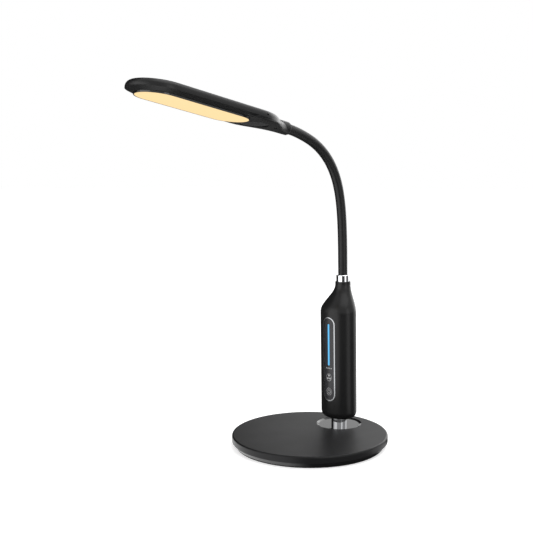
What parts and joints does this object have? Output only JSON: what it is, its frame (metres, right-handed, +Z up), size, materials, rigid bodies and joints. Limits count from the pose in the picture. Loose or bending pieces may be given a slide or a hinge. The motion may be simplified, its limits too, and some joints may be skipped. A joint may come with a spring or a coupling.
{
  "type": "gooseneck desk lamp",
  "caption": "Desk lamp with a weighted round base, an oval column with a touch panel, a bendable gooseneck and a slim oblong LED head.",
  "frame": {"origin": "centre of the base's underside, on the surface the lamp stands on", "axes": "+Z up; -Y towards the head and the touch panel; +X to the lamp's left as it faces forward"},
  "size_m": [0.17, 0.3161, 0.3739],
  "materials": {
    "satin_black": "satin moulded",
    "soft_black": "soft satin moulded",
    "foot_foam": "matt foam",
    "plain_steel": "zinc plated",
    "dish_gloss": "polished black",
    "chrome": "polished",
    "bright_trim": "satin",
    "smoked_lens": "smoked",
    "underside_gloss": "glossy",
    "blue_light": "lit light pipe",
    "grey_moulding": "moulded",
    "board_green": "solder mask",
    "board_white": "white mask on aluminium",
    "chip_black": "moulded",
    "diode": "phosphor",
    "brass": "turned",
    "neck_sleeve": "matt sleeve",
    "seal_rubber": "matt",
    "opal_lit": "opal, lit warm white",
    "white_tray": "matt white",
    "spreader_aluminium": "mill"
  },
  "bodies": {
    "root": {"base_top_cover": "satin_black", "base_weight": "plain_steel", "base_bottom_cover": "satin_black", "base_foot_pad": "foot_foam", "base_screws": "plain_steel", "recess_dish": "dish_gloss", "post": "chrome", "post_stud": "plain_steel", "stud_lower_nut": "plain_steel", "stud_washer": "plain_steel", "stud_upper_nut": "plain_steel", "column_front_shell": "soft_black", "column_rear_shell": "soft_black", "panel_trim": "bright_trim", "touch_lens": "smoked_lens", "light_bar": "blue_light", "column_frame": "grey_moulding", "control_board": "board_green", "bar_leds": "diode", "board_chips": "chip_black", "touch_springs": "plain_steel", "power_inlet": "grey_moulding", "power_inlet_pin": "brass", "column_screws": "plain_steel", "chrome_collar": "chrome", "neck_ferrule": "brass", "ferrule_nut": "plain_steel", "neck_root": "neck_sleeve"},
    "neck_link_01": {"neck_link_01": "neck_sleeve"},
    "neck_link_02": {"neck_link_02": "neck_sleeve"},
    "neck_link_03": {"neck_link_03": "neck_sleeve"},
    "neck_link_04": {"neck_link_04": "neck_sleeve"},
    "neck_link_05": {"neck_link_05": "neck_sleeve"},
    "neck_link_06": {"neck_link_06": "neck_sleeve"},
    "neck_link_07": {"neck_link_07": "neck_sleeve"},
    "neck_link_08": {"neck_link_08": "neck_sleeve"},
    "neck_link_09": {"neck_link_09": "neck_sleeve"},
    "neck_link_10": {"neck_link_10": "neck_sleeve"},
    "neck_link_11": {"neck_link_11": "neck_sleeve"},
    "head": {"neck_end": "neck_sleeve", "head_upper_cover": "soft_black", "head_lower_cover": "soft_black", "diffuser": "opal_lit", "reflector_tray": "white_tray", "led_board": "board_white", "head_leds": "diode", "heat_spreader": "spreader_aluminium", "underside_window": "underside_gloss", "diffuser_frame": "underside_gloss", "socket_ring": "seal_rubber", "neck_end_bush": "plain_steel", "head_screws": "plain_steel"}
  },
  "joints": [
    {"name": "neck_bend_01", "type": "hinge", "parent": "root", "child": "neck_link_01", "pos_m": [0, 0.05491, 0.19194], "axis": [1, 0, 0], "range_deg": [-8, 8]},
    {"name": "neck_sway_02", "type": "hinge", "parent": "neck_link_01", "child": "neck_link_02", "pos_m": [0, 0.05455, 0.20911], "axis": [0, 0.9996, 0.0286], "range_deg": [-18, 18]},
    {"name": "neck_bend_03", "type": "hinge", "parent": "neck_link_02", "child": "neck_link_03", "pos_m": [0, 0.05392, 0.22628], "axis": [1, 0, 0], "range_deg": [-9.7, 8]},
    {"name": "neck_sway_04", "type": "hinge", "parent": "neck_link_03", "child": "neck_link_04", "pos_m": [0, 0.05281, 0.24342], "axis": [0, 0.9959, 0.0905], "range_deg": [-18, 18]},
    {"name": "neck_bend_05", "type": "hinge", "parent": "neck_link_04", "child": "neck_link_05", "pos_m": [0, 0.05082, 0.26048], "axis": [1, 0, 0], "range_deg": [-13.5, 8]},
    {"name": "neck_bend_06", "type": "hinge", "parent": "neck_link_05", "child": "neck_link_06", "pos_m": [0, 0.04721, 0.27727], "axis": [1, 0, 0], "range_deg": [-17.3, 8]},
    {"name": "neck_bend_07", "type": "hinge", "parent": "neck_link_06", "child": "neck_link_07", "pos_m": [0, 0.04093, 0.29325], "axis": [1, 0, 0], "range_deg": [-20.5, 8]},
    {"name": "neck_bend_08", "type": "hinge", "parent": "neck_link_07", "child": "neck_link_08", "pos_m": [0, 0.03132, 0.30749], "axis": [1, 0, 0], "range_deg": [-21.1, 8]},
    {"name": "neck_bend_09", "type": "hinge", "parent": "neck_link_08", "child": "neck_link_09", "pos_m": [0, 0.01875, 0.31919], "axis": [1, 0, 0], "range_deg": [-20.1, 8]},
    {"name": "neck_bend_10", "type": "hinge", "parent": "neck_link_09", "child": "neck_link_10", "pos_m": [0, 0.004, 0.32799], "axis": [1, 0, 0], "range_deg": [-18, 8]},
    {"name": "neck_bend_11", "type": "hinge", "parent": "neck_link_10", "child": "neck_link_11", "pos_m": [0, -0.01205, 0.33412], "axis": [1, 0, 0], "range_deg": [-13.3, 8]},
    {"name": "neck_sway_12", "type": "hinge", "parent": "neck_link_11", "child": "head", "pos_m": [0, -0.02859, 0.33874], "axis": [0, 0.2106, 0.9776], "range_deg": [-18, 18]}
  ]
}
